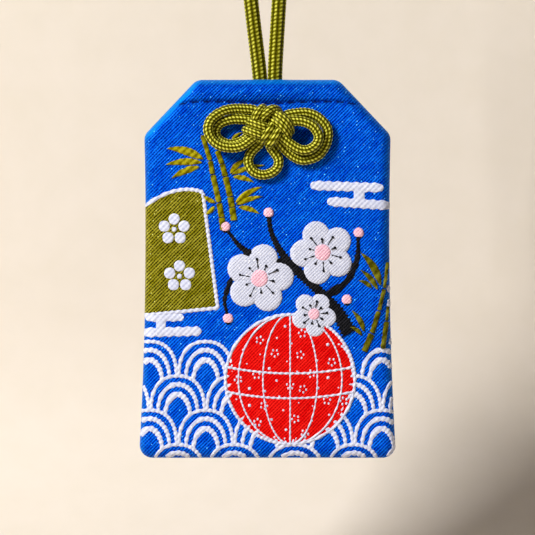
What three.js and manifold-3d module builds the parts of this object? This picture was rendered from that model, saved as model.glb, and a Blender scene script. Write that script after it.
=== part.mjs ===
// A brocade charm pouch that hangs by a braided cord, with the cord tied in a flower knot on its front.
// Millimetres, +Z up, the front faces -Y. The origin is where a peg carries the hanging loop.
import * as THREE from "three";
import { mergeVertices } from "three/addons/utils/BufferGeometryUtils.js";
import Module from "manifold-3d";

const wasm = await Module();
wasm.setup();

// Pouch outline, seen from the front
const TOP_WIDTH = 26.4;
const SHOULDER_WIDTH = 45.9;
const SHOULDER_DROP = 10.3;
const BOTTOM_WIDTH = 47.9;
const POUCH_HEIGHT = 70.4;
const CORNER_RADIUS = 2.5;
const SIDE_BOW = 0.65;
const EDGE_ROLL = 2.4;

// Layers, from the front to the back
const BROCADE = 0.5;
const LINING = 0.3;
const WADDING = 1.4;
const CARD = 0.8;
const WRAPPER = 0.2;
const TABLET = 1.2;
const LAYER_GAP = 0.1;

// What the pouch holds
const CONTENT_TOP_DROP = 15.0;
const CONTENT_MARGIN = 1.2;
const TABLET_WIDTH = 24.0;
const TABLET_HEIGHT = 42.0;
const TABLET_PEAK = 5.0;

// Sewing
const SEAM_THREAD = 0.45;
const SEAM_PLAY = 0.125;
const HEM_DROP = 4.2;
const HEM_THREAD = 0.35;

// Cord
const CORD = 2.7;
const STRAND_GAP = 0.22;
const CORD_PLAY = 0.3;
const LOOP_RISE = 60.0;
const LOOP_BEND_RADIUS = 5.9;
const PIVOT_RISE = 1.4;
const RUN_BEND_RADIUS = 2.2;

// Knot and the runs behind it, pulled tight, so that the cord is thinner there
const KNOT_CORD = 1.9;
const KNOT_DROP = 8.7;
const KNOT_GAP = 0.3;
const HEART_WIDTH = 7.0;
const HEART_HEIGHT = 6.6;

const CORD_SIDES = 8;
const CORNER_STEPS = 4;
const SIDE_STEPS = 6;
const ROLL_STEPS = 5;

// Worked out from the sizes above
const SEAM_GAP = SEAM_THREAD + 2 * SEAM_PLAY;
const PACKET = TABLET + 2 * (WRAPPER + LAYER_GAP);
const CAVITY = WADDING + CARD + PACKET + 4 * LAYER_GAP;
const THICKNESS = CAVITY + 2 * (BROCADE + LAYER_GAP + LINING);
const HALF = THICKNESS / 2;
const TOP = -LOOP_RISE;
const STRAND_X = (CORD + STRAND_GAP) / 2;
const KNOT_Z = TOP - KNOT_DROP;
const KNOT_BACK = -(HALF + KNOT_GAP);
const HOLE_Z = KNOT_Z;
const HOLE = KNOT_CORD + 2 * CORD_PLAY;

const brocadeBlue = new THREE.MeshStandardMaterial({ color: 0x0b4fd6, roughness: 0.6, metalness: 0 });
const threadBlue = new THREE.MeshStandardMaterial({ color: 0x0a2f8c, roughness: 0.7, metalness: 0 });
const oliveCord = new THREE.MeshStandardMaterial({ color: 0x7d7a12, roughness: 0.55, metalness: 0 });
const liningWhite = new THREE.MeshStandardMaterial({ color: 0xe8e4d8, roughness: 0.9, metalness: 0 });
const waddingWhite = new THREE.MeshStandardMaterial({ color: 0xf4f1ea, roughness: 1, metalness: 0 });
const greyCard = new THREE.MeshStandardMaterial({ color: 0xb9ad97, roughness: 0.9, metalness: 0 });
const paperWhite = new THREE.MeshStandardMaterial({ color: 0xf7f3e6, roughness: 0.85, metalness: 0 });
const paleWood = new THREE.MeshStandardMaterial({ color: 0xd9b98a, roughness: 0.7, metalness: 0 });

const charm = new THREE.Group();

function addPiece(name, geometry, material) {
  const mesh = new THREE.Mesh(geometry, material);
  mesh.name = name;
  charm.add(mesh);
}

// A closed geometry as a solid that can be cut and joined.
function solidOf(geometry) {
  const loose = geometry.index ? geometry.toNonIndexed() : geometry;
  const bare = new THREE.BufferGeometry().setAttribute("position", loose.getAttribute("position"));
  const merged = mergeVertices(bare, 1e-4);
  const vertProperties = merged.getAttribute("position").array;
  const triVerts = merged.index.array;
  return new wasm.Manifold(new wasm.Mesh({ numProp: 3, vertProperties, triVerts }));
}

function geometryOf(solid) {
  const mesh = solid.getMesh();
  return new THREE.BufferGeometry()
    .setAttribute("position", new THREE.BufferAttribute(mesh.vertProperties, 3))
    .setIndex(new THREE.BufferAttribute(mesh.triVerts, 1));
}

const join = (solids) => solids.reduce((whole, next) => whole.add(next));

// How far a side is drawn in at a height: a parabola between the shoulder and the foot.
function drawnIn(z) {
  const fall = (TOP - SHOULDER_DROP - z) / (POUCH_HEIGHT - SHOULDER_DROP);
  const share = THREE.MathUtils.clamp(fall, 0, 1);
  return 4 * SIDE_BOW * share * (1 - share);
}

const cornerPoints = CORNER_STEPS + 1;
const sidePoints = SIDE_STEPS - 1;
const between = (a, b) =>
  Array.from({ length: sidePoints }, (_, k) => a.clone().lerp(b, (k + 1) / SIDE_STEPS));

// The pouch outline moved in by an inset, counter-clockwise from the bottom left: each corner is an arc, and
// each side bows in.
function outline(inset) {
  const corners = [
    [-BOTTOM_WIDTH / 2, TOP - POUCH_HEIGHT],
    [BOTTOM_WIDTH / 2, TOP - POUCH_HEIGHT],
    [SHOULDER_WIDTH / 2, TOP - SHOULDER_DROP],
    [TOP_WIDTH / 2, TOP],
    [-TOP_WIDTH / 2, TOP],
    [-SHOULDER_WIDTH / 2, TOP - SHOULDER_DROP],
  ].map(([x, z]) => new THREE.Vector2(x, z));
  const radius = Math.max(CORNER_RADIUS - inset, CORNER_RADIUS / 4);
  const points = [];
  corners.forEach((corner, i) => {
    const before = corners[(i + corners.length - 1) % corners.length];
    const after = corners[(i + 1) % corners.length];
    const along = corner.clone().sub(before).normalize();
    const onward = after.clone().sub(corner).normalize();
    const inward = new THREE.Vector2(-along.y, along.x);
    const turn = Math.acos(along.dot(onward));
    const start = corner
      .clone()
      .addScaledVector(inward, inset)
      .addScaledVector(along, inset * Math.tan(turn / 2) * -1)
      .addScaledVector(along, -radius * Math.tan(turn / 2));
    const centre = start.clone().addScaledVector(inward, radius);
    const spoke = start.clone().sub(centre);
    for (let step = 0; step <= CORNER_STEPS; step++) {
      const arm = spoke.clone().rotateAround(new THREE.Vector2(), (turn * step) / CORNER_STEPS);
      points.push(centre.clone().add(arm));
    }
  });
  const rightSide = between(points[2 * cornerPoints - 1], points[2 * cornerPoints]);
  const leftSide = between(points[points.length - 1], points[0]);
  points.splice(2 * cornerPoints, 0, ...rightSide);
  points.push(...leftSide);
  return points.map((p) => new THREE.Vector2(p.x - Math.sign(p.x) * drawnIn(p.y), p.y));
}

// A closed surface through a row of rings of equally many points, shut at both ends by a fan.
function skin(rings) {
  const count = rings[0].length;
  const middle = (ring) => ring.reduce((sum, p) => sum.add(p), new THREE.Vector3()).divideScalar(count);
  const points = [...rings.flat(), middle(rings[0]), middle(rings[rings.length - 1])];
  const first = rings.length * count;
  const index = [];
  for (let i = 0; i < count; i++) {
    const next = (i + 1) % count;
    for (let row = 0; row + 1 < rings.length; row++) {
      const a = row * count;
      const b = a + count;
      index.push(a + i, a + next, b + next, a + i, b + next, b + i);
    }
    const last = (rings.length - 1) * count;
    index.push(first, next, i, first + 1, last + i, last + next);
  }
  return new THREE.BufferGeometry().setFromPoints(points).setIndex(index);
}

// One side of the pouch: a shallow tray of brocade whose edge rolls round to the seam.
function brocadeTray(side) {
  const ringAt = (inset, depth) => outline(inset).map((p) => new THREE.Vector3(p.x, side * depth, p.y));
  const rings = [];
  const wall = (start, rise, k) => {
    const angle = (k / ROLL_STEPS) * (Math.PI / 2);
    const inset = start + (EDGE_ROLL - start) * (1 - Math.cos(angle));
    rings.push(ringAt(inset, SEAM_GAP / 2 + (rise - SEAM_GAP / 2) * Math.sin(angle)));
  };
  for (let k = ROLL_STEPS; k >= 0; k--) wall(0, HALF, k);
  for (let k = 0; k <= ROLL_STEPS; k++) wall(BROCADE, HALF - BROCADE, k);
  return skin(side < 0 ? rings.reverse() : rings);
}

// A flat sheet of an outline, upright, from the depth y towards the back.
function sheet(points, y, thickness, holes = []) {
  const shape = new THREE.Shape(points);
  shape.holes.push(...holes);
  const geometry = new THREE.ExtrudeGeometry(shape, { depth: thickness, bevelEnabled: false });
  return geometry.rotateX(Math.PI / 2).translate(0, y + thickness, 0);
}

// A round tube along a curve.
function tube(curve, diameter, steps, sides = CORD_SIDES) {
  const section = new THREE.Shape();
  section.absarc(0, 0, diameter / 2, 0, 2 * Math.PI);
  const ring = new THREE.Shape(section.getSpacedPoints(sides).slice(0, sides));
  return new THREE.ExtrudeGeometry(ring, { steps, extrudePath: curve });
}

const curveOf = (points) => new THREE.CatmullRomCurve3(points.map((p) => new THREE.Vector3(...p)));

// Brocade panels, cut for the mouth that the cord leaves by, and the front one for the cord's two holes
const mouth = solidOf(
  new THREE.BoxGeometry(
    2 * STRAND_X + CORD + 2 * CORD_PLAY,
    CORD + 2 * CORD_PLAY,
    2 * (EDGE_ROLL + BROCADE),
  ).translate(0, 0, TOP),
);
const cordHole = (x) =>
  solidOf(new THREE.CylinderGeometry(HOLE / 2, HOLE / 2, 4 * BROCADE, 16).translate(x, -HALF, HOLE_Z));
const frontTray = solidOf(brocadeTray(-1)).subtract(mouth);
addPiece(
  "front_panel",
  geometryOf(frontTray.subtract(cordHole(-STRAND_X)).subtract(cordHole(STRAND_X))),
  brocadeBlue,
);
addPiece("back_panel", geometryOf(solidOf(brocadeTray(1)).subtract(mouth)), brocadeBlue);

// Linings, flat behind the faces
const liningOutline = outline(EDGE_ROLL + LAYER_GAP);
const liningHole = (x) => new THREE.Path().absarc(x, HOLE_Z, HOLE / 2, 0, 2 * Math.PI, true);
const frontLiningY = -HALF + BROCADE + LAYER_GAP;
const backLiningY = HALF - BROCADE - LAYER_GAP - LINING;
addPiece(
  "front_lining",
  sheet(liningOutline, frontLiningY, LINING, [liningHole(-STRAND_X), liningHole(STRAND_X)]),
  liningWhite,
);
addPiece("back_lining", sheet(liningOutline, backLiningY, LINING), liningWhite);

// Wadding and card, stacked behind the front lining and below the cord
const contentWidth = SHOULDER_WIDTH - 2 * (EDGE_ROLL + CONTENT_MARGIN);
const contentBottom = TOP - POUCH_HEIGHT + EDGE_ROLL + CONTENT_MARGIN;
const contentTop = TOP - CONTENT_TOP_DROP;
const contentOutline = [
  new THREE.Vector2(-contentWidth / 2, contentBottom),
  new THREE.Vector2(contentWidth / 2, contentBottom),
  new THREE.Vector2(contentWidth / 2, contentTop),
  new THREE.Vector2(-contentWidth / 2, contentTop),
];
const waddingY = frontLiningY + LINING + LAYER_GAP;
const cardY = waddingY + WADDING + LAYER_GAP;
const packetY = cardY + CARD + LAYER_GAP;
addPiece("wadding_sheet", sheet(contentOutline, waddingY, WADDING), waddingWhite);
addPiece("stiffener_card", sheet(contentOutline, cardY, CARD), greyCard);

// Paper wrapper, open at the top, round a wooden tablet with a peaked top
const packetPlay = WRAPPER + LAYER_GAP;
const tabletBottom = contentBottom + packetPlay;
const tabletTop = tabletBottom + TABLET_HEIGHT;
const tabletOutline = [
  new THREE.Vector2(-TABLET_WIDTH / 2, tabletBottom),
  new THREE.Vector2(TABLET_WIDTH / 2, tabletBottom),
  new THREE.Vector2(TABLET_WIDTH / 2, tabletTop - TABLET_PEAK),
  new THREE.Vector2(0, tabletTop),
  new THREE.Vector2(-TABLET_WIDTH / 2, tabletTop - TABLET_PEAK),
];
addPiece("wooden_tablet", sheet(tabletOutline, packetY + packetPlay, TABLET), paleWood);

// A block round the tablet, standing on a level, with play on its four sides.
const blockRound = (play, bottom, top) =>
  new THREE.BoxGeometry(TABLET_WIDTH + 2 * play, TABLET + 2 * play, top - bottom).translate(
    0,
    packetY + PACKET / 2,
    (bottom + top) / 2,
  );
const wrapperTop = tabletTop + LAYER_GAP;
const wrapperOutside = solidOf(blockRound(packetPlay, contentBottom, wrapperTop));
const wrapperInside = solidOf(blockRound(LAYER_GAP, contentBottom + WRAPPER, wrapperTop + PACKET));
addPiece("paper_wrapper", geometryOf(wrapperOutside.subtract(wrapperInside)), paperWhite);

// Seam thread in the groove between the trays, down the left side, along the bottom and up the right
const seamLine = outline(BROCADE / 2);
const seamLeft = [...seamLine.slice(-sidePoints - 1), ...seamLine.slice(0, cornerPoints)];
const seamRight = seamLine.slice(cornerPoints, 2 * cornerPoints + sidePoints + 1);
const seamFoot = seamLeft[seamLeft.length - 1].clone().lerp(seamRight[0], 0.5);
const seamRoute = [...seamLeft, seamFoot, ...seamRight].map((p) => [p.x, 0, p.y]);
addPiece("perimeter_seam_thread", tube(curveOf(seamRoute), SEAM_THREAD, 60, 6), threadBlue);

// Hem stitching, a thread that lies across each face below the top edge
const chamferSlope = (SHOULDER_WIDTH - TOP_WIDTH) / 2 / SHOULDER_DROP;
const hemLength = TOP_WIDTH + 2 * (HEM_DROP * chamferSlope - EDGE_ROLL);
const hemThread = (y) =>
  new THREE.CylinderGeometry(HEM_THREAD / 2, HEM_THREAD / 2, hemLength, 6)
    .rotateZ(Math.PI / 2)
    .translate(0, y, TOP - HEM_DROP);
const hemY = HALF + LAYER_GAP + HEM_THREAD / 2;
addPiece("front_hem_stitching", hemThread(-hemY), threadBlue);
addPiece("back_hem_stitching", hemThread(hemY), threadBlue);

// Hanging loop: up from the mouth, over the peg and down again, with round ends that the pouch swings about
const pivotZ = TOP + PIVOT_RISE;
const bendZ = CORD / 2 - LOOP_BEND_RADIUS;
const bend = [-80, -50, -25, 0, 25, 50, 80].map((degrees) => {
  const angle = THREE.MathUtils.degToRad(degrees);
  return [LOOP_BEND_RADIUS * Math.sin(angle), 0, bendZ + LOOP_BEND_RADIUS * Math.cos(angle)];
});
const legShares = [0.2, 0.4, 0.6, 0.8];
const legX = (share) => THREE.MathUtils.lerp(LOOP_BEND_RADIUS, STRAND_X, share);
const legZ = (share) => THREE.MathUtils.lerp(bendZ - LOOP_BEND_RADIUS / 2, pivotZ, share);
const rightLeg = [...legShares, 1].map((share) => [legX(share), 0, legZ(share)]);
const leftLeg = rightLeg.map(([x, y, z]) => [-x, y, z]).reverse();
const loopRoute = [...leftLeg, ...bend, ...rightLeg];
const roundEnd = (x) => solidOf(new THREE.SphereGeometry(CORD / 2, 12, 8).translate(x, 0, pivotZ));
addPiece(
  "hanging_loop",
  geometryOf(join([solidOf(tube(curveOf(loopRoute), CORD, 64)), roundEnd(-STRAND_X), roundEnd(STRAND_X)])),
  oliveCord,
);

// Cord runs inside the pouch, from under the loop's round ends down and out through the front
const runTop = pivotZ - CORD / 2 - CORD_PLAY;
function cordRun(x) {
  const elbow = RUN_BEND_RADIUS * (1 - Math.SQRT1_2);
  return curveOf([
    [x, 0, runTop],
    [x, 0, (runTop + HOLE_Z + RUN_BEND_RADIUS) / 2],
    [x, 0, HOLE_Z + RUN_BEND_RADIUS],
    [x, -elbow, HOLE_Z + elbow],
    [x, -RUN_BEND_RADIUS, HOLE_Z],
    [x, -HALF, HOLE_Z],
  ]);
}
addPiece("left_cord_run", tube(cordRun(-STRAND_X), KNOT_CORD, 14), oliveCord);
addPiece("right_cord_run", tube(cordRun(STRAND_X), KNOT_CORD, 14), oliveCord);

// Knot: points are across and up from its middle, and a height off the face in cord diameters
const knotPoint = ([across, up, height]) => [
  across,
  KNOT_BACK - KNOT_CORD * height,
  KNOT_Z + up,
];
const knotCurve = (points) => curveOf(points.map(knotPoint));

// The woven middle: four pairs of strands, each over one neighbour and under the next
const topPair = [
  [[-0.7, 3.0, 0.6], [-1.0, 3.0, 1.5], [-1.7, 2.3, 2.0], [-2.05, 1.3, 1.8], [-1.9, 0.3, 1.2]],
  [[2.0, 2.3, 0.7], [1.3, 2.9, 1.5], [0.4, 2.7, 2.0], [-0.5, 1.8, 2.0], [-1.1, 0.4, 1.2]],
];
const leftPair = [
  [[-3.1, 0.5, 0.6], [-2.9, 0.45, 1.5], [-2.0, 0.1, 2.0], [-0.7, -0.3, 2.0], [0.5, -0.5, 1.2]],
  [[-3.95, -0.85, 0.6], [-3.7, -0.95, 1.5], [-2.7, -1.35, 2.0], [-1.5, -1.75, 2.0], [-0.3, -2.1, 1.2]],
];
const bottomPair = [
  [[-0.95, -2.7, 0.6], [-0.85, -2.5, 1.5], [-0.4, -2.0, 2.0], [0.25, -1.0, 2.0], [1.3, 0.7, 1.2]],
  [[0.4, -3.6, 0.6], [0.5, -3.4, 1.5], [1.0, -2.8, 2.0], [1.67, -1.7, 2.0], [2.6, 0.1, 1.2]],
];
const rightPair = [
  [[3.7, -1.9, 0.6], [3.6, -1.4, 1.5], [3.1, -0.55, 2.0], [2.15, 0.35, 2.0], [0.4, 1.25, 1.2]],
  [[4.2, -1.0, 0.6], [4.05, -0.25, 1.5], [3.5, 0.75, 2.0], [2.5, 1.55, 2.0], [0.8, 2.25, 1.2]],
];
const wovenStrands = [...topPair, ...leftPair, ...bottomPair, ...rightPair];

// The middle with its strands drawn thicker by a margin, round a heart of the crossings that don't show.
function knotMiddle(margin) {
  const heart = new THREE.SphereGeometry(1, 16, 10)
    .scale(HEART_WIDTH / 2 + margin, 1.5 * KNOT_CORD + margin, HEART_HEIGHT / 2 + margin)
    .translate(0, KNOT_BACK - KNOT_CORD, KNOT_Z);
  const strands = wovenStrands.map((points) => solidOf(tube(knotCurve(points), KNOT_CORD + 2 * margin, 6)));
  return join([solidOf(heart), ...strands]);
}
const behind = solidOf(
  new THREE.BoxGeometry(SHOULDER_WIDTH, THICKNESS, SHOULDER_WIDTH).translate(0, KNOT_BACK + HALF, KNOT_Z),
);
addPiece("knot_core", geometryOf(knotMiddle(0).subtract(behind)), oliveCord);

// The loops: on the left the outer one climbs over the inner, on the right the inner lies on the outer
const low = 0.5;
const high = 1.5;
const knotLoops = {
  left_loop_outer: [
    [-0.9, 1.9, low], [-2.6, 2.9, low], [-4.4, 3.1, low], [-6.3, 3.1, 0.6], [-8.3, 2.6, 1.0],
    [-10.3, 1.2, high], [-11.0, -0.7, high], [-10.3, -2.6, high], [-8.7, -3.8, high], [-6.6, -4.15, high],
    [-4.7, -3.8, high], [-3.1, -2.7, high], [-1.2, -1.4, high],
  ],
  left_loop_inner: [
    [-1.2, 0.4, low], [-2.9, 0.9, low], [-4.7, 1.05, low], [-6.6, 0.95, low], [-8.4, 0.3, low],
    [-9.4, -0.9, low], [-9.2, -2.2, low], [-8.0, -3.2, low], [-6.3, -3.4, low], [-4.5, -2.7, low],
    [-3.0, -1.4, low], [-1.4, -0.5, low],
  ],
  right_loop_outer: [
    [1.0, 0.9, low], [2.9, 1.7, low], [4.7, 2.2, low], [7.2, 2.35, low], [9.4, 1.5, low],
    [10.9, -0.2, low], [11.2, -1.9, low], [10.6, -4.0, low], [9.1, -5.7, low], [6.8, -6.4, low],
    [5.1, -5.9, low], [3.8, -4.9, 0.6], [2.5, -3.5, 0.7], [1.6, -2.0, 0.6],
  ],
  right_loop_inner: [
    [1.2, 0.4, high], [3.0, 0.7, high], [4.9, 0.7, high], [6.6, 0.45, high], [8.3, -0.5, high],
    [9.3, -2.0, high], [8.9, -3.5, high], [7.6, -4.5, high], [6.0, -4.5, high], [4.4, -3.6, high],
    [2.9, -2.4, high], [1.3, -1.0, high],
  ],
  bottom_loop: [
    [-0.5, -1.9, low], [-1.5, -3.4, low], [-2.8, -4.7, low], [-3.5, -6.0, low], [-3.4, -7.4, low],
    [-2.5, -8.6, low], [-0.9, -9.1, low], [0.8, -8.7, low], [1.9, -7.6, low], [2.0, -6.2, low],
    [1.3, -5.0, low], [0.5, -3.8, low], [0.2, -2.0, low],
  ],
};
const middleWithRoom = knotMiddle(KNOT_GAP);
for (const [name, points] of Object.entries(knotLoops)) {
  const strand = solidOf(tube(knotCurve(points), KNOT_CORD, 30));
  addPiece(name, geometryOf(strand.subtract(middleWithRoom)), oliveCord);
}

export default charm;
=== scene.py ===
import functools

import bmesh
import bpy
import numpy as np
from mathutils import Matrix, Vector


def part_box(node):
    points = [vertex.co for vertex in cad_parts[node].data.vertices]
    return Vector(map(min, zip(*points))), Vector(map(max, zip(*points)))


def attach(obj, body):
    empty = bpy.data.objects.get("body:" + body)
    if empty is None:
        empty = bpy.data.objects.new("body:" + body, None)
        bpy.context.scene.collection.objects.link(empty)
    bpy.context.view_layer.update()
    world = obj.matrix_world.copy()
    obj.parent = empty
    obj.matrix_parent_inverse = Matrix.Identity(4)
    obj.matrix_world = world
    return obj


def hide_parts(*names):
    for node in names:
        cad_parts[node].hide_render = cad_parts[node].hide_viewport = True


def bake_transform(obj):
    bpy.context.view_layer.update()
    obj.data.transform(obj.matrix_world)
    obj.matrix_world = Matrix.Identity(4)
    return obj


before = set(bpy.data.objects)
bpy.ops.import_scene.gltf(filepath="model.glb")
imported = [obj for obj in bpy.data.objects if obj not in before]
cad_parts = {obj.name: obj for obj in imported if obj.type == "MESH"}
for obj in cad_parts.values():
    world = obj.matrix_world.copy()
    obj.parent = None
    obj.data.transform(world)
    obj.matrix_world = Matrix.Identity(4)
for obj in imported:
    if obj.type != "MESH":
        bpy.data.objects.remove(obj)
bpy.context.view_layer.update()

scene = bpy.context.scene

# A charm pouch of blue brocade, hung by a braided cord that is tied in a flower knot on its front.
# Sums are in millimetres and meshes in metres: +Z is up, the front faces -Y, and the origin is where
# a peg carries the hanging loop. Places on the pouch are across from its axis and down from its top edge.

# The view looks straight at the front, level with the middle of the picture, at 0.1855 mm a pixel.
# Behind the charm hangs a sheet of cream paper that curves into the floor; from behind it is clear.
MM = 0.001
TOP = -60.0
FACE_Y = -3.1
PICTURE_SIDE = 535
MM_PER_PIXEL = 0.1855
TOP_EDGE_PIXEL = 79
CAMERA_DISTANCE = 600.0
SENSOR = 36.0
PAPER_CREAM, PAPER_SHADE = "#e4d9cb", "#ddd2c1"
PAPER_FLOOR, PAPER_WALL, PAPER_COVE = -156.0, 78.0, 50.0
PAPER_WIDTH, PAPER_FRONT, PAPER_HEIGHT = 760.0, -420.0, 260.0


def linear(hex_colour):
    """Linear colour of an sRGB hex value: ((c + 0.055) / 1.055) ** 2.4, or c / 12.92 for a dark share c."""
    share = np.array([int(hex_colour[i : i + 2], 16) for i in (1, 3, 5)]) / 255
    light = np.where(share <= 0.04045, share / 12.92, ((share + 0.055) / 1.055) ** 2.4)
    return (*light.tolist(), 1.0)


def set_inputs(node, inputs):
    """Links each input that is a socket, or a node by its first output, and sets any other."""
    for key, value in inputs.items():
        if isinstance(value, bpy.types.Node):
            value = value.outputs[0]
        if isinstance(value, bpy.types.NodeSocket):
            node.id_data.links.new(value, node.inputs[key])
        else:
            node.inputs[key].default_value = value


def add_node(tree, kind, inputs=None, **settings):
    """Adds a shader node of a kind with its settings and its inputs."""
    made = tree.nodes.new(f"ShaderNode{kind}")
    for key, value in settings.items():
        setattr(made, key, value)
    set_inputs(made, inputs or {})
    return made


def new_material(name):
    """A material, add_node for its tree, its principled shader, and the place on the piece for patterns."""
    material = bpy.data.materials.new(name)
    material.use_nodes = True
    add = functools.partial(add_node, material.node_tree)
    return material, add, material.node_tree.nodes["Principled BSDF"], add("TexCoord").outputs["Object"]


def grid_quads(index):
    """Four corners of each cell of a grid of point numbers, going round the cell."""
    corners = [index[:-1, :-1], index[1:, :-1], index[1:, 1:], index[:-1, 1:]]
    return np.stack([c.ravel() for c in corners], axis=1)


def make_piece(name, patches, material, closed=True):
    """An object at the origin from patches, each its points in millimetres and arrays of faces numbered from
    its first point; a closed one gets outward normals."""
    points, faces = [], []
    for spots, blocks in patches:
        faces += [face for block in blocks for face in (block + len(points)).tolist()]
        points += (spots.reshape(-1, 3) * MM).tolist()
    mesh = bpy.data.meshes.new(name)
    mesh.from_pydata(points, [], faces)
    if closed:
        solid = bmesh.new()
        solid.from_mesh(mesh)
        bmesh.ops.recalc_face_normals(solid, faces=solid.faces)
        solid.to_mesh(mesh)
        solid.free()
    mesh.polygons.foreach_set("use_smooth", np.ones(len(mesh.polygons), dtype=bool))
    mesh.materials.append(material)
    piece = bpy.data.objects.new(name, mesh)
    scene.collection.objects.link(piece)
    return piece


def cream_paper():
    """Uncoated paper: matt, with a faint cloud of fibres about 6 mm across, and clear from behind."""
    material, add, shader, coords = new_material("cream_paper")
    cloud = add("TexNoise", {"Vector": coords, "Scale": 160.0, "Detail": 4.0})
    tone = {0: cloud, 6: linear(PAPER_CREAM), 7: linear(PAPER_SHADE)}
    colour = add("Mix", tone, data_type="RGBA").outputs[2]
    set_inputs(shader, {"Base Color": colour, "Roughness": 0.9})
    behind = add("NewGeometry").outputs["Backfacing"]
    clear = add("BsdfTransparent")
    either = add("MixShader", {0: behind, 1: shader, 2: clear})
    set_inputs(material.node_tree.nodes["Material Output"], {"Surface": either})
    return material


turn = np.linspace(0, np.pi / 2, 13)
paper_y = np.concatenate([[PAPER_FRONT], PAPER_WALL - PAPER_COVE * (1 - np.sin(turn)), [PAPER_WALL]])
paper_z = np.concatenate([[PAPER_FLOOR], PAPER_FLOOR + PAPER_COVE * (1 - np.cos(turn)), [PAPER_HEIGHT]])
side_x = np.array([-PAPER_WIDTH / 2, PAPER_WIDTH / 2])
paper_points = np.stack(np.broadcast_arrays(side_x[None, :], paper_y[:, None], paper_z[:, None]), axis=-1)
paper_faces = grid_quads(np.arange(2 * len(paper_y)).reshape(-1, 2))[:, ::-1]
paper = make_piece("paper_backdrop", [(paper_points, [paper_faces])], cream_paper(), closed=False)

view_middle = TOP - (PICTURE_SIDE / 2 - TOP_EDGE_PIXEL) * MM_PER_PIXEL
camera = bpy.data.objects.new("camera", bpy.data.cameras.new("camera"))
camera.data.sensor_width = SENSOR
camera.data.lens = SENSOR * CAMERA_DISTANCE / (PICTURE_SIDE * MM_PER_PIXEL)
camera.data.clip_start = 0.01
camera.location = (0.0, (FACE_Y - CAMERA_DISTANCE) * MM, view_middle * MM)
camera.rotation_euler = (np.pi / 2, 0.0, 0.0)
scene.collection.objects.link(camera)
scene.camera = camera
scene.view_settings.view_transform = "Standard"

# name, place in mm, side of the square lamp in mm, watts, colour
LAMPS = (
    ("window_lamp", (-720.0, -786.0, 562.0), 330.0, 19.9, "#ffffff"),
    ("fill_lamp", (-200.0, -700.0, 0.0), 500.0, 0.12, "#f2f6ff"),
    ("back_lamp", (-60.0, 640.0, 200.0), 400.0, 3.6, "#ffffff"),
)
for name, place, side, watts, colour in LAMPS:
    lamp = bpy.data.lights.new(name, "AREA")
    lamp.size, lamp.energy, lamp.color = side * MM, watts, linear(colour)[:3]
    stand = bpy.data.objects.new(name, lamp)
    aim = np.array([0.0, 0.0, view_middle]) - np.array(place)
    stand.location = np.array(place) * MM
    tilt, heading = np.arctan2(np.hypot(aim[0], aim[1]), -aim[2]), np.arctan2(aim[1], aim[0])
    stand.rotation_euler = (tilt, 0.0, heading - np.pi / 2)
    stand.visible_camera = False
    scene.collection.objects.link(stand)

# the room's own light is weak, but past the paper it is seen as a pale wall
ROOM_TONE, ROOM_LIGHT, ROOM_SEEN = "#f4f1ec", 0.13, 0.9
world = bpy.data.worlds.new("room")
world.use_nodes = True
scene.world = world
seen = add_node(world.node_tree, "LightPath").outputs["Is Camera Ray"]
shown = {0: seen, 1: ROOM_SEEN - ROOM_LIGHT, 2: ROOM_LIGHT}
strength = add_node(world.node_tree, "Math", shown, operation="MULTIPLY_ADD")
wall = {"Color": linear(ROOM_TONE), "Strength": strength}
set_inputs(world.node_tree.nodes["Background"], wall)

# Front and back of the pouch: blue silk brocade in a twill weave, one panel a side, padded from inside.
# The edges roll round to a seam in the middle of the thickness; a stitched hem crosses below the top edge,
# and the mouth stands open at its middle for the cord.
HALF_TOP, HALF_SHOULDER, HALF_BOTTOM = 13.2, 22.95, 23.95
SHOULDER_DOWN, POUCH_DOWN, SIDE_BOW = 10.3, 70.4, 0.65
CORNER, ROLL, ROLL_FULLNESS, HALF_THICK = 2.5, 2.4, 2.8, 3.1
RIM, CLOSED_RIM, SEAM_START, SEAM_EASE = 0.3, 0.02, 10.6, 1.2
MOUTH_HALF, MOUTH_OPEN, MOUTH_DEEP = 3.9, 1.25, 2.0
CROWN, CROWN_HALF, CROWN_DOWN, CROWN_TALL = 0.6, 24.5, 36.0, 37.0
DIMPLE, DIMPLE_HALF, DIMPLE_DOWN, DIMPLE_TALL = 0.36, 10.0, 9.0, 5.5
HEM_DOWN, HEM_SAG, HEM_END_DROP, HEM_WIDTH, HEM_DEPTH = 4.2, 0.35, 0.5, 0.33, 0.46
HEM_SAG_HALF, HEM_END, HEM_END_HALF = 6.0, 17.2, 2.6
BAND_BULGE, BAND_SWELL, BAND_SWELL_HALF = 0.3, 0.22, 9.0
HEM_PITCH, STITCH_EASE, HOLLOW, RUMPLE = 2.24, 0.2, 0.06, 0.03
PUCKER, PUCKER_PITCH, PUCKER_REACH = 0.10, 2.7, 1.3
CLOTH, TWILL = 0.45, 0.67
# groove, thread, sheen and glint, as for every floss below: the groove's tone is painted shade between the
# ribs, the sheen a painted sheen on their crests, and the glint painted glints on specks of metal thread
BLUES, BLUE_SHINE = ("#000c8e", "#0054d9", "#127ef6", "#5cb8ff"), "#00b0ff"
# how flat the top, shoulder, side and bottom edges of each half are pressed, and how far in; the same shares
# paint a highlight in the shine's colour on them, most on the left shoulder, where the light falls, none at
# the foot
LEFT_FOLDS_AND_HIGHLIGHTS, RIGHT_FOLDS_AND_HIGHLIGHTS, FOLD_AND_HIGHLIGHT_WIDTH = (0.28, 0.42, 0.1, 0.0), (0.28, 0.06, 0.1, 0.0), 1.1
# each face and the way that it looks along Y
FACES = (("front", -1), ("back", 1))


def unit(vectors):
    """Vectors drawn to a length of one."""
    return vectors / np.linalg.norm(vectors, axis=-1, keepdims=True)


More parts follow.
